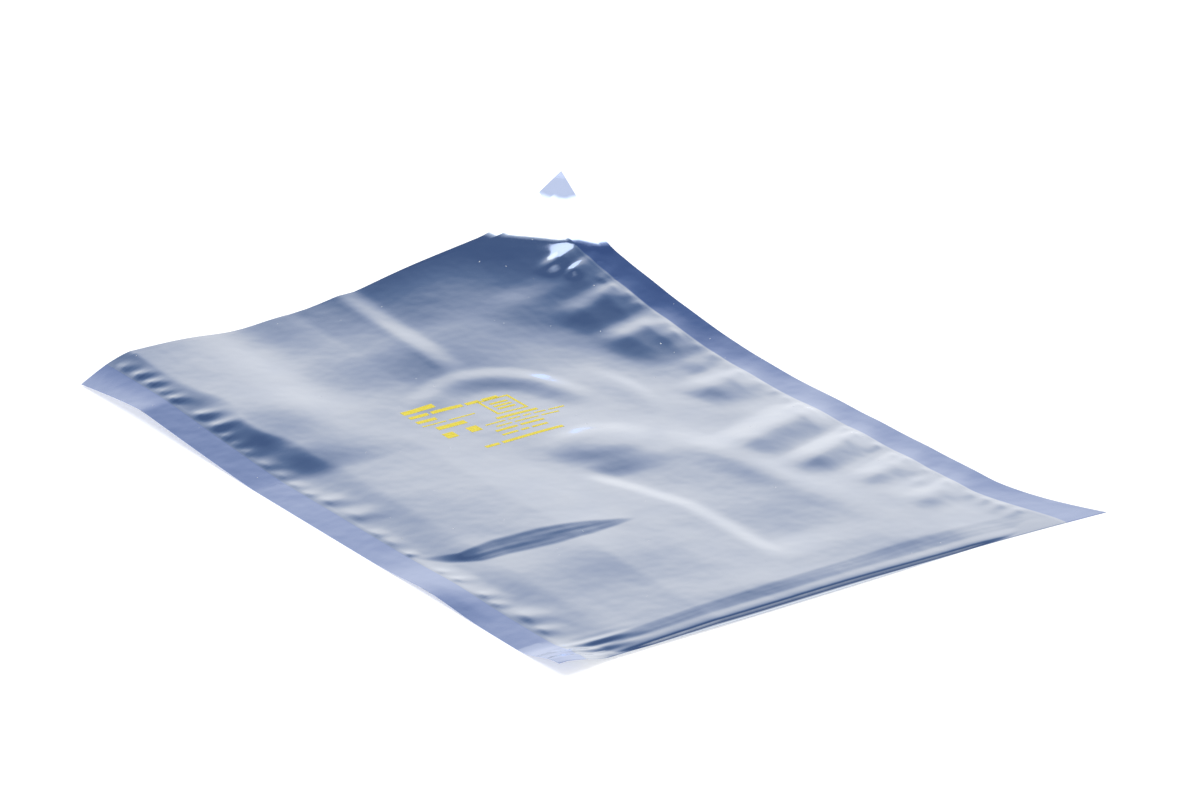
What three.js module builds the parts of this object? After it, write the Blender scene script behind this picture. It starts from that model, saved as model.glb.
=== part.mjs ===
// A static shielding bag: one length of metallised film folded across its bottom end, welded up
// both sides and left open at its mouth. It lies empty on its lower wall, with its mouth end a
// little off the surface, its right mouth corner curled up and its right bottom corner drawn out.
// Millimetres, +Z up. The origin is on the resting surface under the middle of the bag's outline,
// +X runs across it and +Y towards the mouth.
import * as THREE from 'three';

// Driving sizes
const WIDTH = 254;              // across the bag, over both side seals
const LENGTH = 356;             // from the bottom fold to the mouth edge of the lower wall
const SEAL = 13;                // width of a side seal
const FILM = 0.3;               // thickness of one wall
const LIP = 4.5;                // by how much the lower wall is longer than the upper one
const FOLD_HEIGHT = 2.4;        // outside height of the rolled bottom fold
const FOLD_FOOT = 7.2;          // how far in from the fold's end the roll begins to rise
const FOLD_HEAD = [13, 17];     // where it has risen to the upper wall, at the left and the right end
const GAP = 0.2;                // least clear space between the two walls
const PUFF = 2.9;               // how far the upper wall stands off the lower one over most of the bag
const MOUTH_PUFF = 0.7;         // the same at the mouth
const MOUTH_RISE = 9.4;         // height of the lower wall over the surface at the mouth, left half
const RIGHT_RISE = 18.5;        // what the mouth gains on that towards its right corner
const LEFT_DROP = 8.5;          // what the left mouth corner loses again
const LEFT_DROP_REACH = 25;     // how far in from the left edge that drop is felt
const LEFT_WAVE = 2;            // a low wave of the left edge beside the crease
const LEFT_EDGE = 1;            // how far the left seal climbs towards its inner edge
const RIGHT_EDGE = 0.7;         // how far the right seal climbs towards its outer edge
const FOLD_CORNER_RISE = 5;     // lift of the left bottom corner
const CURL_REACH = 31;          // how far in from the right mouth corner the film starts to curl
const CURL_ANGLE = 88 * Math.PI / 180;    // how far that corner is curled up
const CURL_TURN = 50 * Math.PI / 180;     // direction from the start of the curl to the corner
const EAR = [18, -3.5];         // how far the right bottom corner is drawn out, across and along
const EAR_REACH = 50;           // how far from the corner the film is drawn with it
const CREASE_STEP = 1.8;        // step in the upper wall along its dead crease
const GATHER_SLANT = 0.35;      // how far a gather slides towards the bottom as it reaches in

// Places worked out from them
const SIDE = WIDTH / 2;
const END = LENGTH / 2;
const INNER = SIDE - SEAL;      // the seals' inner edges

// Where the mouth end of the lower wall begins to rise, and how
const RISE = {
  start: 20, lean: 20,          // place along of its start in the middle, and its lean across
  rightFrom: -20, rightPower: 1.1,
  dips: [{ depth: 2.3, at: -48, half: 20 }, { depth: 2.2, at: 6, half: 26 }],
  power: 1.15, rightward: 0.7, rightwardFrom: -75, rightwardOver: 60,
  extra: 0.5, extraAt: 55, extraHalf: 38,
};

// Soft swells of the upper wall: place across and along, half sizes, turn in degrees and height
const SWELLS = [
  { at: [14, -8], size: [22, 15], turn: 0, height: 1.3 },      // short step below the panel
  { at: [51, -62], size: [9, 44], turn: 8, height: 0.8 },      // long ridge right of the middle
  { at: [-78, 92], size: [15, 26], turn: 0, height: 0.8 },     // low swell beside the left seal
  { at: [62, -120], size: [30, 36], turn: 0, height: 0.7 },
  { at: [-50, -30], size: [50, 40], turn: 0, height: 0.5 },
  { at: [-56, -99], size: [42, 26], turn: 0, height: 1.1 },    // panel below the crease
  { at: [-74, 48], size: [30, 26], turn: 0, height: 0.6 },
];

// Ridges from the right seal inwards: both ends of the crest, width of the flank on the side of
// the bag's bottom, width of the other flank, and height
const RIDGES = [
  { from: [124, 130], to: [46, 120], near: 26, far: 18, height: 0.9 },
  { from: [124, 111], to: [72, 101], near: 22, far: 15, height: 2.0 },
  { from: [124, 80], to: [76, 72], near: 28, far: 17, height: 2.5 },
  { from: [124, 22], to: [78, 12], near: 22, far: 18, height: 2.2 },
  { from: [124, -27], to: [50, -49], near: 18, far: 22, height: 2.8 },
  { from: [124, -56], to: [64, -79], near: 14, far: 15, height: 2.1 },
  { from: [124, -89], to: [78, -105], near: 12, far: 13, height: 1.6 },
  { from: [124, -119], to: [82, -136], near: 11, far: 12, height: 1.3 },
  { from: [119, 150], to: [88, 139], near: 7, far: 8, height: 1.8 },
  { from: [119, 141], to: [95, 131], near: 6, far: 6, height: 1.3 },
];
const RIDGE_ROOT = 14;          // how far from the seal a ridge takes to reach its height
const RIDGE_SHARE = 0.4;        // the part of a ridge that the lower wall and the seal follow
const RIDGE_END = { from: 0.7, over: 0.4 };   // where along its length it runs out

// Ridges that bend round the printed panel: middle, radius of the crest, its two ends in degrees,
// widths of the two flanks, and height
const ARCHES = [
  { at: [2, 44], radius: 32, from: -20, to: 145, inside: 13, outside: 11, height: 1.0 },
  { at: [0, 36], radius: 60, from: -32, to: 34, inside: 15, outside: 9, height: 0.6 },
];
const ARCH_END = 30;            // degrees over which an arch runs out at its ends

// The ridge that runs in from the middle of the mouth
const MOUTH_RIDGE = {
  top: 1, height: 3.4, left: 57, leftPower: 1.5,
  shoulder: 0.36, shoulderOver: 13, slopeFrom: 18, slopeOver: 80, start: 66, fade: 56,
};

// The soft step down the middle of the lower half: the line of its foot as places along and across
const MIDDLE_STEP = {
  line: [[-150, 6], [-110, 7], [-80, 6], [-55, -1], [-30, -10]],
  drop: 1.4, before: 5, fall: 12, after: 7, recover: 55, bottom: -150, bottomFade: 25, top: -42, topFade: 18,
};

// The dead crease: the upper and the lower edge of its facet as places across and along
const CREASE = {
  top: [[-114, -56], [-97, -66], [-80, -65], [-60, -68], [-42, -73], [-20, -80.2]],
  foot: [[-114, -57], [-103, -69], [-92, -76], [-80, -77.5], [-60, -82], [-42, -83], [-20, -81.4]],
  start: -116, startFade: 6, end: -48, endFade: 28, above: 70, below: 45,
};

// Height of the roll at the bottom, in parts of its full height, at places in from the fold's end
const FOLD_PROFILE = [[0, 0.4], [0.8, 0.55], [2.5, 0.78], [4, 0.93], [5.5, 1], [FOLD_FOOT, 1]];

// How the loose film stands off beside the seals and in the lower half
const LOOSE = {
  leftWidth: 26, upperLeftWidth: 14, rightWidth: 36,
  lobes: [{ at: 112, half: 15, width: 6 }, { at: 60, half: 14, width: 8 }],
  upperFrom: 30, upperOver: 30, leftPuff: 0.25, leftFrom: -110, leftOver: 60,
  lowRightLoss: 0.45, highRightLoss: 0.8, rightFrom: 5, rightOver: 80, lossFrom: -70, lossOver: 60,
  mouthOver: 110, foldFrom: 6, foldOver: 14, foldEnds: [12, 18],
};

// Gathers that run in from a seal: place along it, reach, half width and height
const LEFT_GATHERS = [
  [169, 9, 2.4, 0.6], [158, 12, 2.4, 0.9], [148, 12, 2.4, 0.9], [138, 10, 2.0, 0.5],
  [129, 11, 2.4, 0.8], [110, 16, 3.0, 1.0], [97, 16, 3.0, 1.0], [87, 9, 2.4, 0.6],
  [79, 9, 2.2, 0.4], [70, 9, 2.2, 0.4], [56, 9, 3.0, 0.5], [44, 10, 3.0, 0.4],
  [33, 8, 3.0, 0.4], [22, 8, 2.6, 0.4], [12, 16, 4.0, 0.6], [-6, 20, 5.0, 0.6],
  [-27, 8, 3.0, 0.4], [-38, 9, 4.0, 0.4], [-74, 9, 2.6, 0.4], [-84, 12, 2.6, 0.4],
  [-102, 12, 3.0, 0.5], [-112, 10, 2.6, 0.4], [-128, 20, 6.0, 0.8], [-142, 14, 3.6, 0.6],
];
const RIGHT_GATHERS = [
  [116, 20, 3.0, 0.5], [107, 10, 2.2, 0.5], [99, 10, 2.2, 0.4], [88, 8, 2.2, 0.3],
  [78, 10, 2.6, 0.4], [70, 18, 3.0, 0.5], [56, 10, 2.6, 0.3], [45, 8, 2.2, 0.3],
  [34, 10, 2.6, 0.3], [24, 14, 3.0, 0.5], [11, 10, 3.0, 0.4], [0, 8, 2.4, 0.3],
  [-9, 12, 3.0, 0.5], [-19, 16, 3.0, 0.5], [-27, 16, 3.4, 0.5], [-50, 12, 2.6, 0.5],
  [-58, 18, 3.0, 0.5], [-72, 12, 2.6, 0.5], [-84, 18, 3.0, 0.5], [-91, 10, 2.4, 0.4],
  [-104, 12, 2.6, 0.4], [-119, 14, 2.6, 0.5], [-134, 14, 2.6, 0.5], [-149, 14, 2.6, 0.5],
];

const clamp = (t) => Math.min(Math.max(t, 0), 1);
const ease = (t) => clamp(t) * clamp(t) * (3 - 2 * clamp(t));
const hump = (t) => Math.exp(-t * t);

// Value of a line through points, each given as a place and its value
function alongLine(points, at) {
  if (at <= points[0][0]) return points[0][1];
  for (let i = 1; i < points.length; i += 1) {
    const [a, b] = [points[i - 1], points[i]];
    if (at <= b[0]) return a[1] + (b[1] - a[1]) * (at - a[0]) / (b[0] - a[0]);
  }
  return points[points.length - 1][1];
}

// Height of the lower wall's underside over the surface, at a place on the flat bag
function lift(u, v) {
  const towardsRight = clamp((u - RISE.rightFrom) / (SIDE - RISE.rightFrom)) ** RISE.rightPower;
  let rise = MOUTH_RISE + RIGHT_RISE * towardsRight;
  for (const dip of RISE.dips) rise -= dip.depth * hump((u - dip.at) / dip.half);
  const start = RISE.start - RISE.lean * u / SIDE;
  const rightward = RISE.rightward * ease((u - RISE.rightwardFrom) / RISE.rightwardOver);
  const power = RISE.power + rightward + RISE.extra * hump((u - RISE.extraAt) / RISE.extraHalf);
  const mouthEnd = rise * clamp((v - start) / (END - start)) ** power;
  const left = 1 - clamp((u + SIDE) / LEFT_DROP_REACH);
  const drop = LEFT_DROP * left ** 1.3 * clamp((v - END + 50) / 50) ** 1.2;
  const wave = LEFT_WAVE * hump((v + 88) / 22);
  const corner = FOLD_CORNER_RISE * ease((28 - END - v) / 28);
  const leftSeal = LEFT_EDGE * clamp((u + SIDE) / SEAL) * (1 - ease((u + INNER) / 90));
  const rightSeal = RIGHT_EDGE * clamp((u - INNER) / SEAL) ** 1.3;
  const rightPart = ease((v + 160) / 40) * (1 - ease((v - 100) / 40));
  const height = mouthEnd - drop + ease(left) * (wave + corner) + leftSeal + rightSeal * rightPart;
  return Math.max(height, 0) + RIDGE_SHARE * ridges(u, v);
}

function swells(u, v) {
  let height = 0;
  for (const swell of SWELLS) {
    const turn = THREE.MathUtils.degToRad(swell.turn);
    const du = u - swell.at[0];
    const dv = v - swell.at[1];
    const across = (du * Math.cos(turn) + dv * Math.sin(turn)) / swell.size[0];
    const along = (dv * Math.cos(turn) - du * Math.sin(turn)) / swell.size[1];
    height += swell.height * hump(across) * hump(along);
  }
  return height;
}

function ridges(u, v) {
  let height = 0;
  for (const ridge of RIDGES) {
    const run = [ridge.to[0] - ridge.from[0], ridge.to[1] - ridge.from[1]];
    const length = Math.hypot(...run);
    const du = u - ridge.from[0];
    const dv = v - ridge.from[1];
    const along = (du * run[0] + dv * run[1]) / length ** 2;
    const across = (du * run[1] - dv * run[0]) / length;
    const flank = across > 0 ? ease(1 - across / ridge.far) : ease(1 + across / ridge.near);
    height += ridge.height * flank * (1 - ease((along - RIDGE_END.from) / RIDGE_END.over));
  }
  return height;
}

function arches(u, v) {
  let height = 0;
  for (const arch of ARCHES) {
    const away = Math.hypot(u - arch.at[0], v - arch.at[1]) - arch.radius;
    const bearing = THREE.MathUtils.radToDeg(Math.atan2(v - arch.at[1], u - arch.at[0]));
    const flank = away > 0 ? ease(1 - away / arch.outside) : ease(1 + away / arch.inside);
    const ends = ease((bearing - arch.from) / ARCH_END) * ease((arch.to - bearing) / ARCH_END);
    height += arch.height * flank * ends;
  }
  return height;
}

function mouthRidge(u, v) {
  const { top, left, shoulder, slopeFrom } = MOUTH_RIDGE;
  const rising = clamp((u - top + left) / left) ** MOUTH_RIDGE.leftPower;
  const firstFall = shoulder * ease((u - top) / MOUTH_RIDGE.shoulderOver);
  const falling = 1 - firstFall - (1 - shoulder) * ease((u - slopeFrom) / MOUTH_RIDGE.slopeOver);
  const inside = ease((v - MOUTH_RIDGE.start) / MOUTH_RIDGE.fade);
  return MOUTH_RIDGE.height * inside * (u > top ? falling : rising);
}

function middleStep(u, v) {
  const across = u - alongLine(MIDDLE_STEP.line, v);
  const fall = ease((across + MIDDLE_STEP.before) / MIDDLE_STEP.fall);
  const recover = ease((across - MIDDLE_STEP.after) / MIDDLE_STEP.recover);
  const bottom = ease((v - MIDDLE_STEP.bottom) / MIDDLE_STEP.bottomFade);
  const top = 1 - ease((v - MIDDLE_STEP.top) / MIDDLE_STEP.topFade);
  return -MIDDLE_STEP.drop * bottom * top * (fall - recover);
}

// Heights of one seal's gathers at a distance in from its inner edge
function gathers(distance, v, rows) {
  let height = 0;
  for (const [at, reach, halfWidth, rise] of rows) {
    const t = distance / reach;
    const along = (v - at + GATHER_SLANT * distance) / (halfWidth * (1 + 0.5 * clamp(t)));
    height += rise * ease(t / 0.3) * (1 - ease((t - 0.15) / 0.95)) * hump(along);
  }
  return height;
}

// The dead crease: a narrow slanting facet from the left seal to past a third of the width,
// with the film above it standing higher than the film below it
function crease(u, v) {
  const top = alongLine(CREASE.top, u);
  const foot = alongLine(CREASE.foot, u);
  const step = clamp((v - foot) / Math.max(top - foot, 1)) - 0.5;
  const inside = ease((u - CREASE.start) / CREASE.startFade) * (1 - ease((u - CREASE.end) / CREASE.endFade));
  const fade = Math.exp(-Math.max(v - top, 0) / CREASE.above - Math.max(foot - v, 0) / CREASE.below);
  return CREASE_STEP * inside * step * fade;
}

// The upper wall's step down to the bottom fold, along a bend that runs slightly askew
function foldStep(u, v) {
  const fromFold = v + END;
  const head = FOLD_HEAD[0] + (FOLD_HEAD[1] - FOLD_HEAD[0]) * (u + INNER) / (2 * INNER);
  if (fromFold >= head) return 0;
  const roll = (FOLD_HEIGHT - 2 * FILM) * alongLine(FOLD_PROFILE, fromFold) - GAP;
  const up = clamp((fromFold - FOLD_FOOT) / (head - FOLD_FOOT));
  const ends = ease((u + INNER) / LOOSE.foldEnds[0]) * ease((INNER - u) / LOOSE.foldEnds[1]);
  return (roll - PUFF) * (1 - up) * ends;
}

// How far the plain upper wall stands off, before its swells and folds
function puffAt(u, v) {
  const upper = ease((v - LOOSE.upperFrom) / LOOSE.upperOver);
  const leftPuff = LOOSE.leftPuff + (1 - LOOSE.leftPuff) * upper;
  const across = clamp((u - LOOSE.leftFrom) / LOOSE.leftOver);
  const upperLoss = ease((v - LOOSE.lossFrom) / LOOSE.lossOver);
  const rightLoss = LOOSE.lowRightLoss + (LOOSE.highRightLoss - LOOSE.lowRightLoss) * upperLoss;
  const rightPuff = 1 - rightLoss * ease((u - LOOSE.rightFrom) / LOOSE.rightOver);
  const puff = PUFF * (leftPuff + (1 - leftPuff) * across) * rightPuff;
  return puff + (MOUTH_PUFF - puff) * ease((v - END + LOOSE.mouthOver) / LOOSE.mouthOver);
}

// From 0 at the left seal to 1 where the upper wall stands free of it
function leftFree(u, v) {
  const upper = ease((v - LOOSE.upperFrom) / LOOSE.upperOver);
  let width = LOOSE.leftWidth + (LOOSE.upperLeftWidth - LOOSE.leftWidth) * upper;
  for (const lobe of LOOSE.lobes) width += lobe.width * hump((v - lobe.at) / lobe.half);
  return ease((u + INNER) / width);
}

// Clear space between the walls
function space(u, v) {
  if (Math.abs(u) >= INNER) return GAP;
  const left = leftFree(u, v);
  const right = ease((INNER - u) / LOOSE.rightWidth);
  const nearFold = ease((v + END - LOOSE.foldFrom) / LOOSE.foldOver);
  const shapes = swells(u, v) + arches(u, v) + mouthRidge(u, v) + middleStep(u, v) + crease(u, v);
  const ridged = (1 - RIDGE_SHARE) * ease((INNER - u) / RIDGE_ROOT) * ridges(u, v);
  const loose = left * right * (puffAt(u, v) + nearFold * shapes) + nearFold * ridged;
  const gathered = gathers(u + INNER, v, LEFT_GATHERS) + gathers(INNER - u, v, RIGHT_GATHERS);
  return Math.max(GAP + loose + nearFold * gathered + foldStep(u, v), GAP);
}

// A point of the bag at a height over the lower wall's underside, carried round the corner's curl
// and drawn out with the ear
function place(u, v, height) {
  const start = (u - SIDE) * Math.cos(CURL_TURN) + (v - END) * Math.sin(CURL_TURN) + CURL_REACH;
  const radius = CURL_REACH / CURL_ANGLE;
  const angle = Math.max(start, 0) / radius;
  const back = radius * (angle - Math.sin(angle)) + height * Math.sin(angle);
  const up = radius * (1 - Math.cos(angle)) + height * Math.cos(angle);
  const drawn = clamp(1 - Math.hypot(u - SIDE, v + END) / EAR_REACH) ** 1.6;
  return new THREE.Vector3(
    u - back * Math.cos(CURL_TURN) + EAR[0] * drawn,
    v - back * Math.sin(CURL_TURN) + EAR[1] * drawn,
    lift(u, v) + up,
  );
}

// Outside height of the bag: two films fused in a seal, two films and the space between them inside
function stack(u, v) {
  return Math.abs(u) > INNER ? 2 * FILM : 2 * FILM + space(u, v);
}

// Columns and rows of the mesh, closest where the film is gathered, curled or creased
const fromSeal = [0, 2.5, 5.5, 9, 13.5, 20, 29, 40];
const LEFT_COLUMNS = fromSeal.map((d) => d - INNER);
const RIGHT_COLUMNS = fromSeal.map((d) => INNER - d).reverse();
const MIDDLE_COUNT = 11;
const middleFrom = LEFT_COLUMNS[LEFT_COLUMNS.length - 1];
const middlePitch = -2 * middleFrom / (MIDDLE_COUNT + 1);
const MIDDLE_COLUMNS = Array.from({ length: MIDDLE_COUNT }, (_, i) => middleFrom + (i + 1) * middlePitch);
const COLUMNS = [...LEFT_COLUMNS, ...MIDDLE_COLUMNS, ...RIGHT_COLUMNS];
const COARSE_COLUMNS = COLUMNS.filter((u, i) => u < 20 - INNER || u > INNER - 50 || i % 3 === 0);
const SEAL_MIDDLE = SIDE - SEAL / 2;
const withSeals = (columns) => [-SIDE, -SEAL_MIDDLE, ...columns, SEAL_MIDDLE, SIDE];

const ROW_PITCH = 6.1;
const FOLD_TURNS = 6;
const FOLD_ROWS = [4, 6.5, 9, 11.5, 14, 16.5, 20].map((d) => d - END);
function rowsTo(mouth) {
  const first = FOLD_ROWS[FOLD_ROWS.length - 1];
  const count = Math.round((mouth - first) / ROW_PITCH);
  const rest = Array.from({ length: count }, (_, i) => first + (mouth - first) * (i + 1) / count);
  return [...FOLD_ROWS, ...rest];
}
const UPPER_ROWS = rowsTo(END - LIP).reverse();
const LOWER_ROWS = rowsTo(END).filter((v, i) => v > 20 || v < -120 || i % 2 === 0);

// Vertices, each with its place on the flat bag, and triangles. A row is a list of vertex numbers.
class Shell {
  constructor() {
    this.points = [];
    this.flat = [];
    this.index = [];
  }
  add(u, v, height) {
    this.points.push(place(u, v, height));
    this.flat.push({ u, v });
    return this.points.length - 1;
  }
  triangle(a, b, c) {
    if (a !== b && b !== c && c !== a) this.index.push(a, b, c);
  }
  // Joins two rows that run side by side, whatever number of points each has. Both walls get the
  // same diagonals, so that they stay parallel where the film curls.
  strip(low, high, { along, flip = false, highFirst = false }) {
    let i = 0;
    let j = 0;
    while (i < low.length - 1 || j < high.length - 1) {
      const nextLow = i < low.length - 1 ? along(this.flat[low[i + 1]]) : Infinity;
      const nextHigh = j < high.length - 1 ? along(this.flat[high[j + 1]]) : Infinity;
      const level = Math.abs(nextLow - nextHigh) < 1e-6;
      const stepLow = level ? !highFirst : nextLow < nextHigh;
      const apex = stepLow ? low[i + 1] : high[j + 1];
      if (flip) this.triangle(low[i], apex, high[j]);
      else this.triangle(low[i], high[j], apex);
      if (stepLow) i += 1;
      else j += 1;
    }
  }
  mesh(name, material) {
    const geometry = new THREE.BufferGeometry().setFromPoints(this.points);
    geometry.setIndex(this.index);
    geometry.computeBoundingBox();
    const middle = geometry.boundingBox.getCenter(new THREE.Vector3());
    geometry.translate(-middle.x, -middle.y, 0);
    geometry.computeVertexNormals();
    const mesh = new THREE.Mesh(geometry, material);
    mesh.name = name;
    return mesh;
  }
}

// One skin of the bag, from the mouth of the upper wall round the fold to the mouth of the lower
// one. The inner skin lies one film inside the outer one and stops at the seals.
function skin(shell, inner) {
  const fine = inner ? COLUMNS : withSeals(COLUMNS);
  const coarse = inner ? COARSE_COLUMNS : withSeals(COARSE_COLUMNS);
  const inset = inner ? FILM : 0;
  const upper = UPPER_ROWS.map((v) => fine.map((u) => shell.add(u, v, stack(u, v) - inset)));
  const fold = Array.from({ length: FOLD_TURNS + 1 }, (_, k) => fine.map((u) => {
    const angle = Math.PI * k / FOLD_TURNS;
    const radius = stack(u, -END) / 2;
    const v = radius - END - (radius - inset) * Math.sin(angle);
    return shell.add(u, v, radius + (radius - inset) * Math.cos(angle));
  }));
  const lower = LOWER_ROWS.map((v) => coarse.map((u) => shell.add(u, v, inset)));
  const rows = [...upper, ...fold, ...lower];
  const across = (flat) => flat.u;
  for (let k = 0; k + 1 < rows.length; k += 1) {
    shell.strip(rows[k], rows[k + 1], { along: across, flip: inner, highFirst: k > upper.length });
  }
  // the two long sides, closed between the upper and the lower wall
  const middle = upper.length + FOLD_TURNS / 2;
  const towardsFold = (flat) => -flat.v;
  for (const right of [false, true]) {
    const end = rows.map((row) => row[right ? row.length - 1 : 0]);
    const upperSide = end.slice(0, middle + 1);
    const lowerSide = end.slice(middle).reverse();
    shell.strip(upperSide, lowerSide, { along: towardsFold, flip: right !== inner });
  }
  return { upperMouth: upper[0], lowerMouth: lower[lower.length - 1] };
}

// The cut edges of the mouth: a lip on each wall and the ends of the two seals
function mouthEdges(shell, outer, inner) {
  const seals = 2;
  const upperLip = outer.upperMouth.slice(seals, -seals);
  const lowerLip = outer.lowerMouth.slice(seals, -seals);
  const along = (flat) => flat.u;
  shell.strip(inner.upperMouth, upperLip, { along });
  shell.strip(lowerLip, inner.lowerMouth, { along });
  const last = outer.upperMouth.length - 1;
  const lastLow = outer.lowerMouth.length - 1;
  const left = [
    ...outer.upperMouth.slice(0, seals + 1), inner.upperMouth[0], inner.lowerMouth[0],
    ...outer.lowerMouth.slice(0, seals + 1).reverse(),
  ];
  const right = [
    ...outer.upperMouth.slice(last - seals).reverse(),
    inner.upperMouth[inner.upperMouth.length - 1], inner.lowerMouth[inner.lowerMouth.length - 1],
    ...outer.lowerMouth.slice(lastLow - seals),
  ];
  for (const [ring, flip] of [[left, false], [right, true]]) {
    const [edge, middle, seal, innerTop, innerLow, sealLow, middleLow, edgeLow] = ring;
    for (const [a, b, c] of [
      [edge, middle, edgeLow], [edgeLow, middle, middleLow], [middle, seal, middleLow],
      [seal, innerTop, middleLow], [innerTop, innerLow, middleLow], [innerLow, sealLow, middleLow],
    ]) {
      if (flip) shell.triangle(a, c, b);
      else shell.triangle(a, b, c);
    }
  }
}

const film = new THREE.MeshStandardMaterial({ color: '#b4bccd', metalness: 0.9, roughness: 0.16 });

const shell = new Shell();
const outerSkin = skin(shell, false);
const innerSkin = skin(shell, true);
mouthEdges(shell, outerSkin, innerSkin);

const bag = new THREE.Group();
bag.add(shell.mesh('shielding_bag', film));

export default bag;
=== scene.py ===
# %% [markdown]
# # A static shielding bag, lying empty on a white table
#
# The bag is one strip of metallised film. It is folded across once, which makes the closed
# bottom end, and welded to itself along both sides. The mouth stays open. This lesson models it
# as it was made: a flat grid is the film, the grid is folded over, its side strips are pressed
# together, and then the loose part of the upper wall gets the swells, gathers and creases that
# a bag keeps once it has been handled. Nearly all that the eye sees on it is a reflection, so
# the shape and the light are the whole work here, and the material is short.

# %% Load the frame
import math

import bpy
import numpy as np
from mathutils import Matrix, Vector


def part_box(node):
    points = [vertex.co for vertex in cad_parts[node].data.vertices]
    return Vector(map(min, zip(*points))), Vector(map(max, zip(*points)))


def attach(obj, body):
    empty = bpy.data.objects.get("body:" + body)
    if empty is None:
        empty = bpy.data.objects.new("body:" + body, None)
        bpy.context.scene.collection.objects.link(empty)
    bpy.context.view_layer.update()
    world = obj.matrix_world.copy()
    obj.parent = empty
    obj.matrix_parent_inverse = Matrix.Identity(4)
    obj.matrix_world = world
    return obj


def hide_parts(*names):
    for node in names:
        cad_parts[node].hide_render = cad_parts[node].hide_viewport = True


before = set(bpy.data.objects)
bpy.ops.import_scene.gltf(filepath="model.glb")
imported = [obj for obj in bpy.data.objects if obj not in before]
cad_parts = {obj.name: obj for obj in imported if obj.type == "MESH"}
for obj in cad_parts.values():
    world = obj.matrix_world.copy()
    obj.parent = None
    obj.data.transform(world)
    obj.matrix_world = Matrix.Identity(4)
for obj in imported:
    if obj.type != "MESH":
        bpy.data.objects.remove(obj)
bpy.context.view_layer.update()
MM = 0.001

# %% [markdown]
# ## The camera
#
# The camera looks down at the bag at about 23 degrees, from in front of its left bottom corner,
# with a long lens. At this low angle the film mirrors whatever stands behind the table, and a
# tilt of only ten degrees is enough to turn a pale patch dark.

# %% Camera
VIEW_AZIMUTH = math.radians(-35.6)
VIEW_ELEVATION = math.radians(22.8)
VIEW_DISTANCE = 2.6
VIEW_TARGET = (0.0366, 0.03765, 0.0)


def look_direction(azimuth, elevation):
    """From the bag towards a camera at that azimuth and elevation."""
    flat = math.cos(elevation)
    return np.array([math.sin(azimuth) * flat, -math.cos(azimuth) * flat, math.sin(elevation)])


towards_camera = look_direction(VIEW_AZIMUTH, VIEW_ELEVATION)
bpy.ops.object.camera_add(
    location=np.array(VIEW_TARGET) + VIEW_DISTANCE * towards_camera,
    rotation=(math.pi / 2 - VIEW_ELEVATION, 0, VIEW_AZIMUTH),
)
camera = bpy.context.object
camera.name = "camera"
camera.data.sensor_width = 36
camera.data.lens = 182.4
bpy.context.scene.camera = camera
print("camera at", [round(x, 3) for x in camera.location])

# %% [markdown]
# ## Sizes of the film
#
# All the shape work is done in millimetres on the flat film. The place across the bag is u, from
# the left edge to the right one, and the place along it is v, from the bottom fold up to the
# mouth. Real film of this kind is about 0.08 mm thick. One bottom corner of the bag is drawn out
# to a point, so the middle of its outline, where the frame has its origin, lies a little to the
# right of the middle of the film.

# %% Sizes
low, high = (np.array(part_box("shielding_bag")[i]) / MM for i in (0, 1))
WIDTH = 254.0
LENGTH = 356.0
SEAL = 13.0
LIP = 4.5
FILM = 0.08
SIDE, END = WIDTH / 2, LENGTH / 2
INNER = SIDE - SEAL  # where the seals end and the loose film begins
MIDDLE = (9.0, -1.75)  # middle of the outline, seen from the middle of the film
print("solid of the bag, mm:", low.round(1), high.round(1))


def clamp(t):
    return np.clip(t, 0, 1)


def ease(t):
    """From 0 to 1, flat at both ends."""
    t = clamp(t)
    return t * t * (3 - 2 * t)


def hump(t):
    return np.exp(-t * t)


# %% [markdown]
# ## Ridges along the right weld
#
# From the right weld long ridges run in over the bag. A ridge has a line for its top and two
# different flanks: the near one is the slope that shows dark, because it leans towards the
# camera. Both walls and the weld take a share of each ridge.

# %% Ridges
RIDGES = [
    # from, to, width of the near flank, width of the far flank, height
    ((124, 130), (46, 120), 26, 18, 0.9),
    ((124, 111), (72, 101), 22, 15, 2.0),
    ((124, 80), (76, 72), 28, 17, 2.5),
    ((124, 45), (92, 36), 14, 12, 0.6),
    ((124, 22), (78, 12), 22, 18, 2.2),
    ((124, -27), (50, -49), 18, 22, 2.8),
    ((124, -56), (64, -79), 14, 15, 2.1),
    ((124, -89), (78, -105), 12, 13, 1.6),
    ((124, -108), (94, -117), 6, 7, 0.6),
    ((124, -119), (82, -136), 11, 12, 1.3),
    ((119, 150), (88, 139), 7, 8, 2.0),
    ((119, 141), (95, 131), 6, 5, 1.6),
    ((117, 126), (106, 121), 4, 4, 0.8),
]


def flank(t):
    """From 0 to 1: a straight slope with its corners rounded off."""
    return 0.35 * clamp(t) + 0.65 * ease(t)


def ridges(u, v):
    height = 0
    for start, stop, near, far, rise in RIDGES:
        run = np.array(stop, float) - start
        reach = np.hypot(*run)
        du, dv = u - start[0], v - start[1]
        along = (du * run[0] + dv * run[1]) / reach**2
        across = (du * run[1] - dv * run[0]) / reach
        profile = np.where(across > 0, ease(1 - across / far), flank(1 + across / near))
        rounded_end = np.sqrt(clamp(1.12 - clamp(along) ** 3)) * (1 - ease((along - 0.7) / 0.4))
        height = height + rise * profile * rounded_end
    return height


print(len(RIDGES), "ridges, the highest", max(ridge[-1] for ridge in RIDGES), "mm")

# %% [markdown]
# ## How the lower wall lies
#
# Film keeps a memory of the roll and of every hand. The lower wall of the bag rests on the table
# over most of its length, its mouth end stands off it, higher towards the right, and the bottom
# corners lift a little. One height formula over the flat film says all that.

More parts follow.
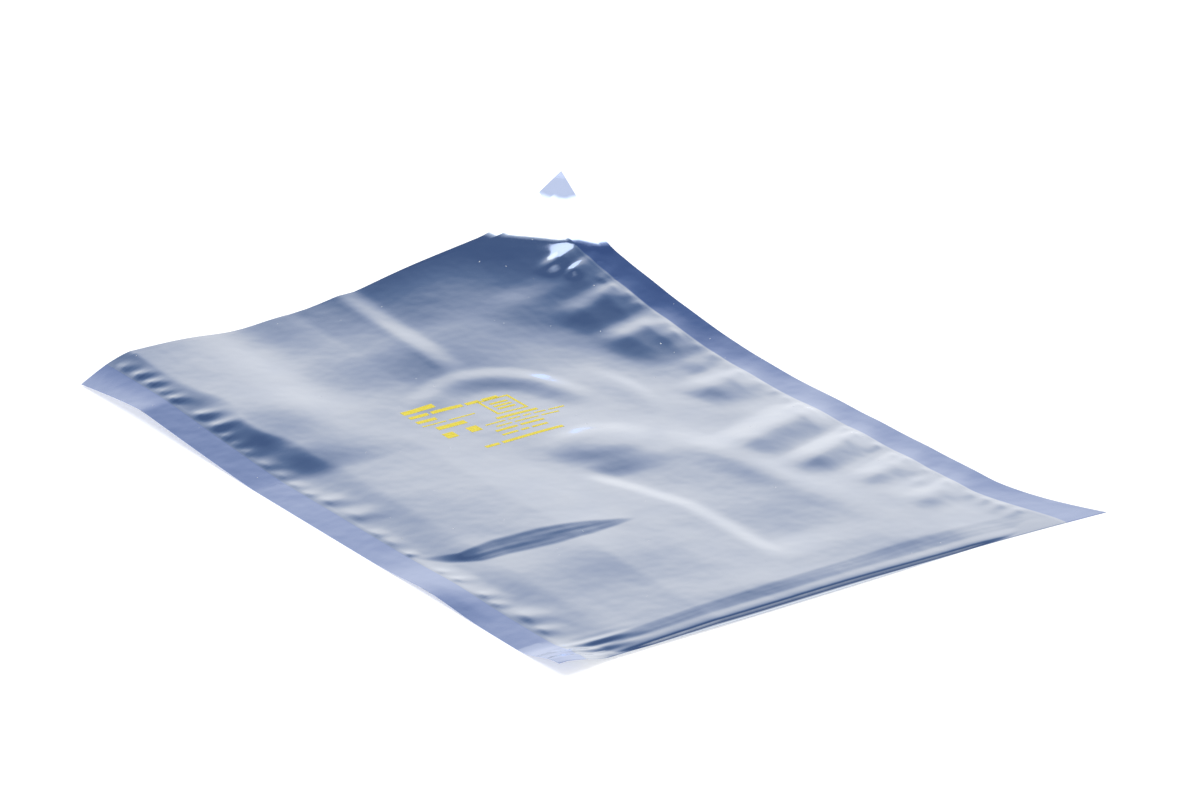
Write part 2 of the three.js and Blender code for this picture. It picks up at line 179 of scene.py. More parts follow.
# %% Height of the lower wall
MOUTH_RISE = 9.4
RIGHT_RISE = 18.5
LEFT_DROP = 8.5  # how far the left mouth corner hangs below that
LEFT_CORNER = 5.0  # lift of the left bottom corner
LEFT_EDGE, RIGHT_EDGE = 1.0, 0.7  # how far the two seals climb, the left one inwards
CRUMPLE = 0.28  # small wrinkles in the left bottom corner
RIDGE_SHARE = 0.4  # the part of a ridge that the lower wall follows


def lift(u, v):
    towards_right = clamp((u + 20) / (SIDE + 20))
    rise = MOUTH_RISE + RIGHT_RISE * towards_right**1.1
    rise = rise - 2.3 * hump((u + 48) / 20) - 2.2 * hump((u - 6) / 26)
    start = 20 - 20 * u / SIDE
    steep = 1.15 + 0.7 * ease((u + 75) / 60) + 0.5 * hump((u - 55) / 38)
    height = rise * clamp((v - start) / (END - start)) ** steep
    left = 1 - clamp((u + SIDE) / 25)
    height = height - LEFT_DROP * left**1.3 * clamp((v - 128) / 50) ** 1.2
    height = height + ease(left) * (2 * hump((v + 88) / 22) + LEFT_CORNER * ease((-v - 150) / 28))
    height = height + LEFT_EDGE * clamp((u + SIDE) / SEAL) * (1 - ease((u + INNER) / 90))
    right_part = ease((v + 160) / 40) * (1 - ease((v - 100) / 40))
    height = height + RIGHT_EDGE * clamp((u - INNER) / SEAL) ** 1.3 * right_part
    crumpled = hump((u + 106) / 17) * hump((v + 168) / 7) * (1 + np.sin(0.95 * (v + 0.2 * u)))
    in_seal = 0.75 * ease((u - INNER + 6) / 12)
    return np.maximum(height, 0) + RIDGE_SHARE * (1 - in_seal) * ridges(u, v) + CRUMPLE * crumpled


print("mouth stands off by", [round(float(lift(x, END)), 1) for x in (-SIDE, 0, SIDE)], "mm")

# %% [markdown]
# ## How the upper wall swells
#
# Between the welds the upper wall stands a few millimetres off the lower one. The swells are
# broad and smooth, and between them run waves too low to be seen except in what the film
# mirrors. An arch is a ridge that bends round a place.

# %% Swells
PUFF, MOUTH_PUFF, GAP = 3.2, 0.7, 0.1
SWELLS = [
    # place, half sizes, turn in degrees, height, and how flat its top is
    ((14, -8), (22, 15), 0, 1.1, 2.0),
    ((51, -62), (9, 44), 8, 0.9, 1.0),
    ((-78, 92), (15, 26), 0, 0.9, 1.0),
    ((62, -120), (30, 36), 0, 0.7, 1.0),
    ((-50, -30), (50, 40), 0, 0.6, 1.0),
    ((-56, -99), (42, 26), 0, 1.2, 1.0),
    ((-74, 48), (30, 26), 0, 0.6, 1.0),
    ((-104, -165), (6, 4), 0, 0.7, 1.0),
]


def swells(u, v):
    height = 0
    for (at_u, at_v), (half_u, half_v), turn, rise, flat_top in SWELLS:
        a = math.radians(turn)
        across = ((u - at_u) * math.cos(a) + (v - at_v) * math.sin(a)) / half_u
        along = ((v - at_v) * math.cos(a) - (u - at_u) * math.sin(a)) / half_v
        height = height + rise * np.exp(-((across**2 + along**2) ** flat_top))
    return height


# %% Waves
def waves(u, v):
    """Broad waves too low to be seen except in what the film mirrors."""
    return (
        0.18 * np.sin((u + 0.4 * v) / 13 + 1.0 + np.sin(v / 31))
        + 0.15 * np.sin((v - 0.3 * u) / 15 + 1.3 * np.sin(u / 27 + 0.5))
        + 0.08 * np.sin((0.7 * u + 0.7 * v) / 8 + 2 * np.sin((u - v) / 45))
    )


# %% Arches
ARCHES = [
    # middle, radius of the crest, from and to in degrees, inner flank, outer flank, height
    ((2, 44), 32, -25, 165, 14, 12, 0.9),
    ((0, 36), 60, -32, 34, 15, 9, 0.7),
]


def arches(u, v):
    height = 0
    for (at_u, at_v), radius, start, stop, inner, outer, rise in ARCHES:
        away = np.hypot(u - at_u, v - at_v) - radius
        bearing = np.degrees(np.arctan2(v - at_v, u - at_u))
        profile = np.where(away > 0, ease(1 - away / outer), ease(1 + away / inner))
        window = ease((bearing - start) / 40) * ease((stop - bearing) / 40)
        height = height + rise * profile * window
    return height


# %% Ridge at the mouth and step in the middle
def mouth_ridge(u, v):
    """The ridge that runs in from the middle of the mouth, sharp on its right side."""
    top = 1
    left = clamp((u + 56) / (top + 56)) ** 1.5
    right = 1 - 0.36 * ease((u - top) / 13) - 0.64 * ease((u - 18) / 80)
    return 3.4 * ease((v - 66) / 56) * np.where(u > top, right, left)


def middle_step(u, v):
    """Below the middle the wall steps down along a soft line and comes up again slowly."""
    line = np.interp(v, [-150, -110, -80, -55, -30], [6, 7, 6, -1, -10])
    across = u - line
    fall = ease((across + 5) / 12)
    recover = ease((across - 7) / 55)
    inside = ease((v + 150) / 25) * (1 - ease((v + 42) / 18))
    return -1.4 * inside * (fall - recover)


# %% [markdown]
# ## Gathers along the welds
#
# A hot bar presses the two films together and pulls them unevenly, so the loose film starts from
# the weld in small gathers. Each one has its own place, reach, width and height, and it leans
# towards the bottom of the bag as it runs in.

# %% Gathers
LEFT_GATHERS = [
    # place along the weld, reach, half width, height
    (169, 9, 2.4, 0.5), (158, 12, 2.4, 0.8), (148, 12, 2.4, 0.8), (138, 10, 2.0, 0.4),
    (129, 11, 2.4, 0.7), (110, 16, 3.0, 0.9), (97, 16, 3.0, 0.9), (87, 9, 2.4, 0.5),
    (79, 9, 2.2, 0.3), (70, 9, 2.2, 0.3), (56, 9, 3.0, 0.4), (44, 10, 3.0, 0.35),
    (33, 8, 3.0, 0.3), (22, 8, 2.6, 0.3), (12, 16, 4.0, 0.6), (-6, 20, 5.0, 0.6),
    (-27, 8, 3.0, 0.35), (-38, 9, 4.0, 0.3), (-52, 6, 2.0, 0.4), (-74, 9, 2.6, 0.3),
    (-84, 12, 2.6, 0.4), (-102, 12, 3.0, 0.5), (-112, 10, 2.6, 0.4), (-128, 20, 6.0, 0.8),
    (-142, 14, 3.6, 0.6),
]
RIGHT_GATHERS = [
    (116, 20, 3.0, 0.5), (107, 10, 2.2, 0.4), (99, 10, 2.2, 0.35), (88, 8, 2.2, 0.2),
    (78, 10, 2.6, 0.3), (70, 18, 3.0, 0.5), (56, 10, 2.6, 0.25), (45, 8, 2.2, 0.25),
    (34, 10, 2.6, 0.25), (24, 14, 3.0, 0.4), (11, 10, 3.0, 0.3), (0, 8, 2.4, 0.3),
    (-9, 12, 3.0, 0.4), (-19, 16, 3.0, 0.5), (-27, 16, 3.4, 0.4), (-50, 12, 2.6, 0.4),
    (-58, 18, 3.0, 0.5), (-72, 12, 2.6, 0.5), (-84, 18, 3.0, 0.5), (-91, 10, 2.4, 0.4),
    (-104, 12, 2.6, 0.4), (-119, 14, 2.6, 0.5), (-134, 14, 2.6, 0.5), (-142, 12, 2.4, 0.5),
    (-149, 14, 2.6, 0.5), (-157, 12, 2.4, 0.4),
]
GATHER_SLANT = 0.35


def gathers(distance, v, rows):
    height = 0
    for at, reach, half_width, rise in rows:
        t = distance / reach
        shape = ease(t / 0.3) * (1 - ease((t - 0.15) / 0.95))
        offset = (v - at + GATHER_SLANT * distance) / (half_width * (1 + 0.5 * clamp(t)))
        height = height + rise * shape * hump(offset)
    return height


print(len(LEFT_GATHERS), "gathers at the left,", len(RIGHT_GATHERS), "at the right")

# %% [markdown]
# ## The dead crease and the bottom fold
#
# The bag was once bent sharply: a narrow slanting facet runs in from the left weld. At the
# bottom the two walls were rolled flat, so the upper one steps down to a low roll before it turns
# under. Both keep fine lengthwise lines where the film was pressed.

# %% Crease and fold
CREASE_TOP = [(-114, -56), (-97, -66), (-80, -65), (-60, -68), (-42, -73), (-20, -80.2)]
CREASE_FOOT = [(-114, -57), (-103, -69), (-92, -76), (-80, -77.5), (-60, -82), (-42, -83), (-20, -81.4)]
CREASE_STEP = 1.7
FOLD_PROFILE = [(0, 1.3), (0.6, 1.85), (1.4, 2.25), (2.4, 2.42), (4, 2.5), (7.2, 2.5)]


def pressed_lines(t, u, count, depth):
    """A slope from 0 to 1 with fine lines pressed along it, which wander a little."""
    phase = 2 * math.pi * count * t
    coarse = np.sin(phase + 2 * np.sin(u / 17))
    fine = np.sin(1.7 * phase + 1.6 * np.sin(u / 29 + 2))
    return t + depth * (coarse + 0.6 * fine)


def crease(u, v):
    top = np.interp(u, *zip(*CREASE_TOP))
    foot = np.interp(u, *zip(*CREASE_FOOT))
    wide = np.maximum(top - foot, 1)
    t = clamp((v - foot) / wide)
    step = pressed_lines(t, u, 2, 0.022 * np.sin(math.pi * t)) - 0.5
    inside = ease((u + 116) / 6) * (1 - ease((u + 48) / 28)) ** 0.7
    above, below = np.clip(v - top, 0, None), np.clip(foot - v, 0, None)
    return CREASE_STEP * inside * step * np.exp(-above / 70 - below / 45)


def fold_step(u, v):
    from_fold = v + END
    head = 13 + 4 * (u + 100) / 190
    foot = FOLD_PROFILE[-1][0]
    low_roll = np.interp(from_fold, *zip(*FOLD_PROFILE))
    t = clamp((from_fold - foot) / (head - foot))
    lines = pressed_lines(t, u, 3, 0.014 * np.sin(math.pi * t))
    ends = ease((u + INNER) / 12) * ease((INNER - u) / 18)
    return np.where(from_fold < head, (low_roll - PUFF) * (1 - lines), 0) * ends


# %% [markdown]
# ## Putting the walls together
#
# The space between the walls is the sum of all these, and it closes to nothing in the welds. The
# mouth's right corner is curled up: there the film is carried round a drum, together with
# whatever stands on it. The right bottom corner is drawn out to a sharp ear.

# %% The bag's surface
CURL_REACH = 31.0
CURL_ANGLE = math.radians(88)
CURL_TURN = math.radians(50)
EAR = (18.0, -3.5)
EAR_REACH = 50.0


def space(u, v):
    """Clear height between the two walls."""
    above_half = ease((v - 30) / 30)
    lobes = 6 * hump((v - 112) / 15) * above_half + 8 * hump((v - 60) / 14)
    left_width = 26 - 12 * above_half + lobes
    left = ease((u + INNER) / left_width)
    right = ease((INNER - u) / 36)
    across = clamp((u + 110) / 60)
    left_puff = 0.25 + 0.75 * above_half
    right_puff = 1 - ease((u - 5) / 80) * (0.45 + 0.35 * ease((v + 70) / 60))
    puff = PUFF * (left_puff + (1 - left_puff) * across) * right_puff
    puff = puff + (MOUTH_PUFF - puff) * ease((v - END + 110) / 110)
    near_fold = ease((v + END - 6) / 14)
    shapes = waves(u, v) + swells(u, v) + arches(u, v)
    shapes = shapes + mouth_ridge(u, v) + middle_step(u, v) + crease(u, v)
    ridged = (1 - RIDGE_SHARE) * ease((INNER - u) / 14) * ridges(u, v)
    loose = left * right * (puff + near_fold * shapes) + near_fold * ridged
    gathered = gathers(u + INNER, v, LEFT_GATHERS) + gathers(INNER - u, v, RIGHT_GATHERS)
    return np.maximum(GAP + loose + near_fold * gathered + fold_step(u, v), GAP)


def stack(u, v):
    """Outside height of the bag at a place: two films, and the space between them inside."""
    return 2 * FILM + np.where(np.abs(u) < INNER, space(u, v), 0)


def place(u, v, height):
    """A point of the bag, at a height over the lower wall, carried round the corner's curl."""
    start = (u - SIDE) * math.cos(CURL_TURN) + (v - END) * math.sin(CURL_TURN) + CURL_REACH
    radius = CURL_REACH / CURL_ANGLE
    angle = np.maximum(start, 0) / radius
    back = radius * (angle - np.sin(angle)) + height * np.sin(angle)
    up = radius * (1 - np.cos(angle)) + height * np.cos(angle)
    drawn = clamp(1 - np.hypot(u - SIDE, v + END) / EAR_REACH) ** 1.6
    x = u - back * math.cos(CURL_TURN) + EAR[0] * drawn - MIDDLE[0]
    y = v - back * math.sin(CURL_TURN) + EAR[1] * drawn - MIDDLE[1]
    return np.stack([x, y, lift(u, v) + up], -1)


print("space between the walls in the middle:", round(float(space(0.0, 0.0)), 1), "mm")

# %% [markdown]
# ## The film as a grid
#
# A grid primitive is the strip of film as it comes off the roll. Its columns and rows are set
# closer where the film is worked, at the welds, the crease and the fold. The rows run from the
# mouth of the upper wall down to the bottom, round the fold and back under to the other mouth.

# %% Columns and rows
COLUMN_COUNT, UPPER_COUNT, FOLD_COUNT, LOWER_COUNT = 168, 214, 8, 44


def spread(count, pitches):
    """count places whose spacing follows a list of (place, relative pitch)."""
    places, pitch = zip(*pitches)
    fine = np.linspace(places[0], places[-1], 4000)
    travelled = np.concatenate([[0], np.cumsum(1 / np.interp(fine, places, pitch))[:-1]])
    return np.interp(np.linspace(0, travelled[-1], count), travelled, fine)


ACROSS = [(-INNER, 0.8), (-90, 1.1), (-40, 1.8), (50, 1.8), (80, 1.2), (INNER, 0.8)]
inside = spread(COLUMN_COUNT - 8, ACROSS)
seal_left = np.linspace(-SIDE, -INNER - 0.4, 4)
columns = np.concatenate([seal_left, inside, -seal_left[::-1]])
ALONG = [(-END, 0.5), (-158, 0.7), (-140, 1.5), (-90, 1.3), (-84, 0.7), (-56, 0.7), (-45, 1.4)]
upper_rows = spread(UPPER_COUNT, ALONG + [(70, 1.4), (END - LIP, 1.5)])[::-1]
lower_rows = spread(LOWER_COUNT + 1, [(-END, 0.8), (-120, 2.5), (60, 2.5), (END, 1)])[1:]
row_count = UPPER_COUNT + FOLD_COUNT + LOWER_COUNT
print("grid of", len(columns), "by", row_count, "points")

bpy.ops.object.select_all(action="DESELECT")
bpy.ops.mesh.primitive_grid_add(x_subdivisions=COLUMN_COUNT - 1, y_subdivisions=row_count - 1, size=1)
bag = bpy.context.object
bag.name = "film_bag"
bag.data.name = "film_bag"

# %% Fold the grid into the bag
count = len(bag.data.vertices)
flat = np.empty(count * 3)
bag.data.vertices.foreach_get("co", flat)
flat = flat.reshape(-1, 3) + 0.5
column = np.rint(flat[:, 0] * (COLUMN_COUNT - 1)).astype(int)
row = np.rint((1 - flat[:, 1]) * (row_count - 1)).astype(int)
u = columns[column]

turned = np.pi * np.arange(1, FOLD_COUNT + 1) / (FOLD_COUNT + 1)
on_upper = row < UPPER_COUNT
on_fold = (row >= UPPER_COUNT) & (row < UPPER_COUNT + FOLD_COUNT)
v_of_row = np.concatenate([upper_rows, np.full(FOLD_COUNT, -END), lower_rows])
v = v_of_row[row]
angle = np.where(on_fold, turned[np.clip(row - UPPER_COUNT, 0, FOLD_COUNT - 1)], 0)
top = stack(u, v)
height = np.where(on_upper, top, np.where(on_fold, top / 2 * (1 + np.cos(angle)), 0))
points = place(u, v - np.where(on_fold, top / 2 * np.sin(angle), 0), height)
bag.data.vertices.foreach_set("co", (points * MM).ravel())
bag.data.update()
print("folded bag, mm:", points.min(0).round(1), points.max(0).round(1))

# %% [markdown]
# ## The film's own map
#
# The UV map is the flat film itself, in metres, so scratches and print keep their true size and
# follow every fold. The upper wall lies at the start of the strip, and the lower wall at its end.

# %% UV map of the flat film
along_strip = np.where(on_upper, END - v, np.where(on_fold, LENGTH, LENGTH + END + v))
strip = np.stack([u + SIDE, along_strip], -1) * MM
layer = bag.data.uv_layers[0] if bag.data.uv_layers else bag.data.uv_layers.new()
layer.name = "flat_film"
corner_vertex = np.empty(len(bag.data.loops), int)
bag.data.loops.foreach_get("vertex_index", corner_vertex)
layer.uv.foreach_set("vector", strip[corner_vertex].ravel())

# %% [markdown]
# The film gets its thickness from a Solidify modifier, towards the inside of the bag. The grid
# has to face outwards first.

# %% Thickness
upper_face = bag.data.polygons[len(bag.data.polygons) - COLUMN_COUNT * UPPER_COUNT // 2]
if upper_face.normal.z < 0:
    bag.data.flip_normals()
print("upper wall faces up:", upper_face.normal.z > 0)
solidify = bag.modifiers.new("film thickness", "SOLIDIFY")
solidify.thickness = FILM * MM
solidify.offset = -1
solidify.use_even_offset = False
bpy.ops.object.modifier_apply(modifier=solidify.name)
bpy.ops.object.shade_smooth_by_angle(angle=math.radians(50))
bag.data.update()
triangles = sum(len(p.vertices) - 2 for p in bag.data.polygons)
print("film bag has", triangles, "triangles")

# %% [markdown]
# ## The finish of the film
#
# The film is a mirror of vapour-coated metal behind clear plastic, slightly grey and lavender.
# Dust, hairline scratches and a slight unevenness of the surface come from one node group that
# reads the flat film's map.


# %% Node helpers
def socket(group, name, kind, in_out, value=None):
    item = group.interface.new_socket(name=name, in_out=in_out, socket_type=kind)
    if value is not None:
        item.default_value = value
    return item


def add(tree, kind, **settings):
    node = tree.nodes.new(kind)
    for key, value in settings.items():
        setattr(node, key, value)
    return node


def math_node(tree, operation, *inputs):
    node = add(tree, "ShaderNodeMath", operation=operation)
    for i, value in enumerate(inputs):
        if isinstance(value, (int, float)):
            node.inputs[i].default_value = value
        else:
            tree.links.new(value, node.inputs[i])
    return node.outputs[0]


def ramp(tree, value, stops):
    """A colour ramp with (place, grey or colour) stops."""
    node = add(tree, "ShaderNodeValToRGB")
    tree.links.new(value, node.inputs[0])
    elements = node.color_ramp.elements
    while len(elements) < len(stops):
        elements.new(0.5)
    for element, (at, colour) in zip(elements, stops):
        element.position = at
        element.color = (*colour, 1) if isinstance(colour, tuple) else (colour, colour, colour, 1)
    return node.outputs[0]


# %% Handling marks
def handling_marks():
    """Unevenness of the film, hairline scratches and dust, all on the flat film's map."""
    group = bpy.data.node_groups.new("handling marks", "ShaderNodeTree")
    socket(group, "Vector", "NodeSocketVector", "INPUT")
    for name in ("Height", "Dust", "Haze"):
        socket(group, name, "NodeSocketFloat", "OUTPUT")
    start, end = add(group, "NodeGroupInput"), add(group, "NodeGroupOutput")
    vector = start.outputs["Vector"]

    waves = add(group, "ShaderNodeTexNoise")
    waves.inputs["Scale"].default_value = 55
    waves.inputs["Detail"].default_value = 2
    group.links.new(vector, waves.inputs["Vector"])

    orange = add(group, "ShaderNodeTexNoise")
    orange.inputs["Scale"].default_value = 700
    orange.inputs["Detail"].default_value = 1
    group.links.new(vector, orange.inputs["Vector"])

    stretch = add(group, "ShaderNodeMapping")
    stretch.inputs["Rotation"].default_value = (0, 0, 0.5)
    stretch.inputs["Scale"].default_value = (90, 1400, 1)
    group.links.new(vector, stretch.inputs["Vector"])
    scratch = add(group, "ShaderNodeTexNoise")
    scratch.inputs["Scale"].default_value = 1
    scratch.inputs["Detail"].default_value = 3
    group.links.new(stretch.outputs[0], scratch.inputs["Vector"])
    hair = ramp(group, scratch.outputs["Fac"], [(0.0, 0.0), (0.68, 0.0), (0.72, 1.0)])

    specks = add(group, "ShaderNodeTexVoronoi")
    specks.inputs["Scale"].default_value = 120
    group.links.new(vector, specks.inputs["Vector"])
    grain_size = math_node(group, "MULTIPLY", specks.outputs["Color"], 0.055)
    dust = math_node(group, "LESS_THAN", specks.outputs["Distance"], grain_size)

    height = math_node(group, "MULTIPLY", waves.outputs["Fac"], 1.0)
    height = math_node(group, "MULTIPLY_ADD", orange.outputs["Fac"], 0.02, height)
    height = math_node(group, "MULTIPLY_ADD", hair, 0.012, height)
    group.links.new(height, end.inputs["Height"])
    group.links.new(dust, end.inputs["Dust"])
    group.links.new(waves.outputs["Fac"], end.inputs["Haze"])
    return group


MARKS = handling_marks()


# %% Film material
def film_material():
    material = bpy.data.materials.new("metallised film")
    material.use_nodes = True
    tree = material.node_tree
    shader = tree.nodes["Principled BSDF"]
    shader.inputs["Metallic"].default_value = 1.0
    shader.inputs["Coat Weight"].default_value = 0.0

    uv = add(tree, "ShaderNodeUVMap", uv_map="flat_film")
    marks = add(tree, "ShaderNodeGroup", node_tree=MARKS)
    tree.links.new(uv.outputs[0], marks.inputs["Vector"])
    tint = ramp(tree, marks.outputs["Haze"], [(0.3, (0.57, 0.615, 0.70)), (0.7, (0.605, 0.645, 0.715))])
    dusted = add(tree, "ShaderNodeMix", data_type="RGBA")
    dusted.inputs["B"].default_value = (0.75, 0.76, 0.78, 1)

    # the weld strips are painted darker and bluer: painted shade for the mid-blue that the seals mirror
    across = add(tree, "ShaderNodeSeparateXYZ")
    tree.links.new(uv.outputs[0], across.inputs[0])
    off_middle = math_node(tree, "ABSOLUTE", math_node(tree, "SUBTRACT", across.outputs["X"], SIDE * MM))
    painted_seal_shade = add(tree, "ShaderNodeMix", data_type="RGBA")
    painted_seal_shade.inputs["B"].default_value = (0.46, 0.53, 0.73, 1)
    tree.links.new(math_node(tree, "GREATER_THAN", off_middle, INNER * MM), painted_seal_shade.inputs["Factor"])
    tree.links.new(tint, painted_seal_shade.inputs["A"])

    tree.links.new(marks.outputs["Dust"], dusted.inputs["Factor"])
    tree.links.new(painted_seal_shade.outputs["Result"], dusted.inputs["A"])
    tree.links.new(dusted.outputs["Result"], shader.inputs["Base Color"])

    rough = math_node(tree, "MULTIPLY_ADD", marks.outputs["Haze"], 0.06, 0.07)
    rough = math_node(tree, "MULTIPLY_ADD", marks.outputs["Dust"], 0.5, rough)
    tree.links.new(rough, shader.inputs["Roughness"])

    bump = add(tree, "ShaderNodeBump")
    bump.inputs["Strength"].default_value = 1.0
    bump.inputs["Distance"].default_value = 0.25 * MM
    tree.links.new(marks.outputs["Height"], bump.inputs["Height"])
    tree.links.new(bump.outputs[0], shader.inputs["Normal"])
    return material


bag.data.materials.clear()
bag.data.materials.append(film_material())

# %% [markdown]
# ## The printed panel
#
# The print is yellow ink on the film: a few lines of plain bars in place of words, and plain
# blocks in place of marks. Each bar is a thin strip of the same surface, laid three hundredths of
# a millimetre over the film.

# %% Printed bars
INK_HEIGHT = 0.03
WORD_GAP = 1.6
LINES = [
    # left end, middle of the line, bar height and the lengths of its bars
    (-38, 63, 3.6, (16,)),
    (-38, 57.5, 2.6, (9.5, 16, 7, 8)),
    (-38, 52, 2.6, (10,)),
    (-38, 47.5, 1.0, (12, 13)),
    (-34, 42.5, 3.4, (14.5,)),
    (-7, 37.6, 2.0, (21,)),
    (-15, 34.1, 1.1, (10, 6, 4, 6, 8)),
    (-12, 30.4, 1.1, (8, 12, 9)),
    (-15, 26.4, 1.8, (11, 12)),
    (-15, 21.6, 1.6, (8, 4, 8)),
    (-28, 15.2, 2.2, (7, 31)),
]
BLOCKS = [
    # plain marks: middle, width and height
    ((-33, 34), (5.5, 5.5)),
    ((-21, 34), (5.5, 5.5)),
    ((4, 56.4), (16, 1.2)), ((4, 41.6), (16, 1.2)), ((-3.4, 49), (1.2, 13.6)), ((11.4, 49), (1.2, 13.6)),
    ((4, 52), (9, 1.6)), ((4, 49), (9, 1.6)), ((4, 46), (9, 1.6)),
]


def bars():
    """Every bar of the panel as (left, right, bottom, top)."""
    found = []
    for left, middle, tall, lengths in LINES:
        for length in lengths:
            found.append((left, left + length, middle - tall / 2, middle + tall / 2))
            left += length + WORD_GAP
    for (u0, v0), (wide, tall) in BLOCKS:
        found.append((u0 - wide / 2, u0 + wide / 2, v0 - tall / 2, v0 + tall / 2))
    return found


def print_bar(left, right, bottom, top):
    """A small grid laid on the film between two places across and two along."""
    steps = max(2, round((right - left) / 0.8))
    bpy.ops.object.select_all(action="DESELECT")
    bpy.ops.mesh.primitive_grid_add(x_subdivisions=steps, y_subdivisions=3, size=1)
    bar = bpy.context.object
    for vertex in bar.data.vertices:
        u = left + (vertex.co.x + 0.5) * (right - left)
        v = bottom + (vertex.co.y + 0.5) * (top - bottom)
        vertex.co = place(np.float64(u), np.float64(v), stack(u, v) + INK_HEIGHT) * MM
    return bar


made = [print_bar(*bar) for bar in bars()]
bpy.ops.object.select_all(action="DESELECT")
for bar in made:
    bar.select_set(True)
bpy.context.view_layer.objects.active = made[0]
bpy.ops.object.join()
panel = bpy.context.object
panel.name = "printed_panel"
panel.data.name = "printed_panel"
bpy.ops.object.shade_smooth()
print("printed panel:", len(made), "bars,", len(panel.data.polygons), "faces")


# %% Ink material
def ink_material():
    material = bpy.data.materials.new("yellow ink")
    material.use_nodes = True
    tree = material.node_tree
    shader = tree.nodes["Principled BSDF"]
    shader.inputs["Roughness"].default_value = 0.45
    coordinates = add(tree, "ShaderNodeTexCoord")
    patchy = add(tree, "ShaderNodeTexNoise")
    patchy.inputs["Scale"].default_value = 900
    tree.links.new(coordinates.outputs["Object"], patchy.inputs["Vector"])
    colour = ramp(tree, patchy.outputs["Fac"], [(0.35, (0.80, 0.66, 0.03)), (0.65, (0.90, 0.76, 0.05))])
    tree.links.new(colour, shader.inputs["Base Color"])
    return material


panel.data.materials.clear()
panel.data.materials.append(ink_material())

# %% [markdown]
# ## Put the pieces on the bag's body
#
# Both pieces ride on the one body of the bag. The bag is a sheet: one strip of film, 254 mm wide
# and twice the bag's length, folded once.

# %% Pieces
for piece in (bag, panel):
    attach(piece, "root")
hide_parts("shielding_bag")

# %% [markdown]
# ## Table, light and surroundings
#
# The table is white. What the film mirrors matters more than the lamp: low down there is the
# white surround of the table, above it the dark room, and over the table again a bright ceiling
# of light. On the near side the room is only half dark, and high up behind the camera a large
# screen is lit as well.

# %% Table
bpy.ops.object.select_all(action="DESELECT")
bpy.ops.mesh.primitive_plane_add(size=12, location=(0, 0, 0))
table = bpy.context.object
table.name = "table"


def table_material():
    material = bpy.data.materials.new("white table")
    material.use_nodes = True
    tree = material.node_tree
    shader = tree.nodes["Principled BSDF"]
    shader.inputs["Base Color"].default_value = (0.86, 0.86, 0.87, 1)
    shader.inputs["Roughness"].default_value = 0.25
    shader.inputs["Specular IOR Level"].default_value = 0.3
    rays = add(tree, "ShaderNodeLightPath")
    seen = math_node(tree, "ADD", rays.outputs["Is Camera Ray"], rays.outputs["Is Glossy Ray"])
    seen = math_node(tree, "ADD", seen, rays.outputs["Is Transmission Ray"])
    shader.inputs["Emission Color"].default_value = (1, 1, 1, 1)
    tree.links.new(math_node(tree, "MULTIPLY", seen, 0.42), shader.inputs["Emission Strength"])
    return material


table.data.materials.append(table_material())

# %% Surroundings
AROUND = [
    # height of the direction (sine of its elevation) and what stands there
    (0.0, (1.15, 1.15, 1.16)),
    (0.24, (1.05, 1.05, 1.07)),
    (0.40, (0.88, 0.89, 0.93)),
    (0.54, (0.50, 0.56, 0.70)),
    (0.67, (0.17, 0.25, 0.42)),
    (0.77, (0.09, 0.15, 0.30)),
    (0.87, (0.09, 0.15, 0.30)),
    (0.93, (0.50, 0.60, 0.80)),
    (0.96, (2.4, 2.4, 2.3)),
    (1.0, (2.4, 2.4, 2.3)),
]
NEAR_SIDE = [
    (0.0, (1.15, 1.15, 1.15)),
    (0.30, (1.15, 1.15, 1.15)),
    (0.50, (0.85, 0.87, 0.92)),
    (0.64, (0.46, 0.52, 0.63)),
    (0.80, (0.36, 0.42, 0.54)),
    (0.95, (1.0, 1.0, 1.0)),
]
world = bpy.data.worlds.new("studio")
bpy.context.scene.world = world
world.use_nodes = True
tree = world.node_tree
background = tree.nodes["Background"]
direction = add(tree, "ShaderNodeTexCoord")
parts = add(tree, "ShaderNodeSeparateXYZ")
tree.links.new(direction.outputs["Generated"], parts.inputs[0])
scaled = [(at, tuple(c / 3 for c in colour)) for at, colour in AROUND]
sky = ramp(tree, math_node(tree, "MAXIMUM", parts.outputs["Z"], 0.0), scaled)
brighter = add(tree, "ShaderNodeVectorMath", operation="SCALE")
brighter.inputs["Scale"].default_value = 3
tree.links.new(sky, brighter.inputs[0])

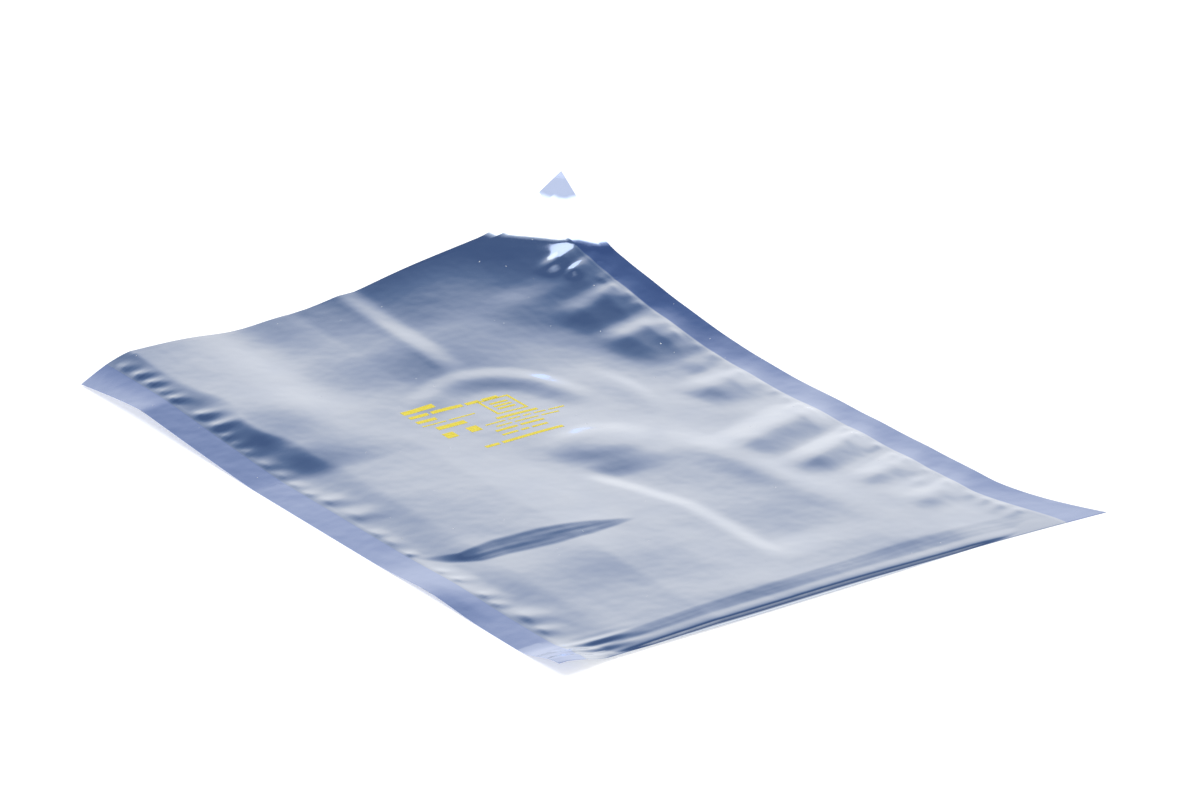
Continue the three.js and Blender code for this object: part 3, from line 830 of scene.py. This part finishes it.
# the half dark near side of the room
near_side = ramp(tree, math_node(tree, "MAXIMUM", parts.outputs["Z"], 0.0), NEAR_SIDE)
nearness = add(tree, "ShaderNodeVectorMath", operation="DOT_PRODUCT")
nearness.inputs[1].default_value = (0.3, -0.954, 0.0)
tree.links.new(direction.outputs["Generated"], nearness.inputs[0])
room = add(tree, "ShaderNodeMix", data_type="RGBA")
tree.links.new(ramp(tree, nearness.outputs["Value"], [(0.0, 0.0), (0.3, 1.0)]), room.inputs["Factor"])
tree.links.new(brighter.outputs[0], room.inputs["A"])
tree.links.new(near_side, room.inputs["B"])

# the lit screen high up behind the camera
SCREEN = look_direction(VIEW_AZIMUTH, math.radians(66))
facing = add(tree, "ShaderNodeVectorMath", operation="DOT_PRODUCT")
facing.inputs[1].default_value = SCREEN
tree.links.new(direction.outputs["Generated"], facing.inputs[0])
on_screen = ramp(tree, facing.outputs["Value"], [(0.71, 0.0), (0.77, 1.0)])
lit = add(tree, "ShaderNodeMix", data_type="RGBA")
lit.inputs["B"].default_value = (2.4, 2.4, 2.3, 1)
tree.links.new(on_screen, lit.inputs["Factor"])
tree.links.new(room.outputs["Result"], lit.inputs["A"])

# what the eye sees directly and what lights the table is plain white
rays = add(tree, "ShaderNodeLightPath")
glossy = add(tree, "ShaderNodeMix", data_type="RGBA")
glossy.inputs["A"].default_value = (1, 1, 1, 1)
tree.links.new(rays.outputs["Is Glossy Ray"], glossy.inputs["Factor"])
tree.links.new(lit.outputs["Result"], glossy.inputs["B"])
tree.links.new(glossy.outputs["Result"], background.inputs["Color"])
level = math_node(tree, "MAXIMUM", rays.outputs["Is Camera Ray"], rays.outputs["Is Glossy Ray"])
level = math_node(tree, "MAXIMUM", level, rays.outputs["Is Transmission Ray"])
tree.links.new(math_node(tree, "MULTIPLY_ADD", level, 0.4, 0.6), background.inputs["Strength"])

# %% Lamp
bpy.ops.object.light_add(type="AREA", location=(-0.5, 0.6, 1.6))
lamp = bpy.context.object
lamp.name = "softbox"
lamp.data.shape = "DISK"
lamp.data.size = 1.2
lamp.data.energy = 14
lamp.visible_glossy = False
lamp.rotation_euler = (math.radians(-20), math.radians(-17), 0)

# %% [markdown]
# ## Finish

# %% View transform
bpy.context.scene.view_settings.view_transform = "Standard"
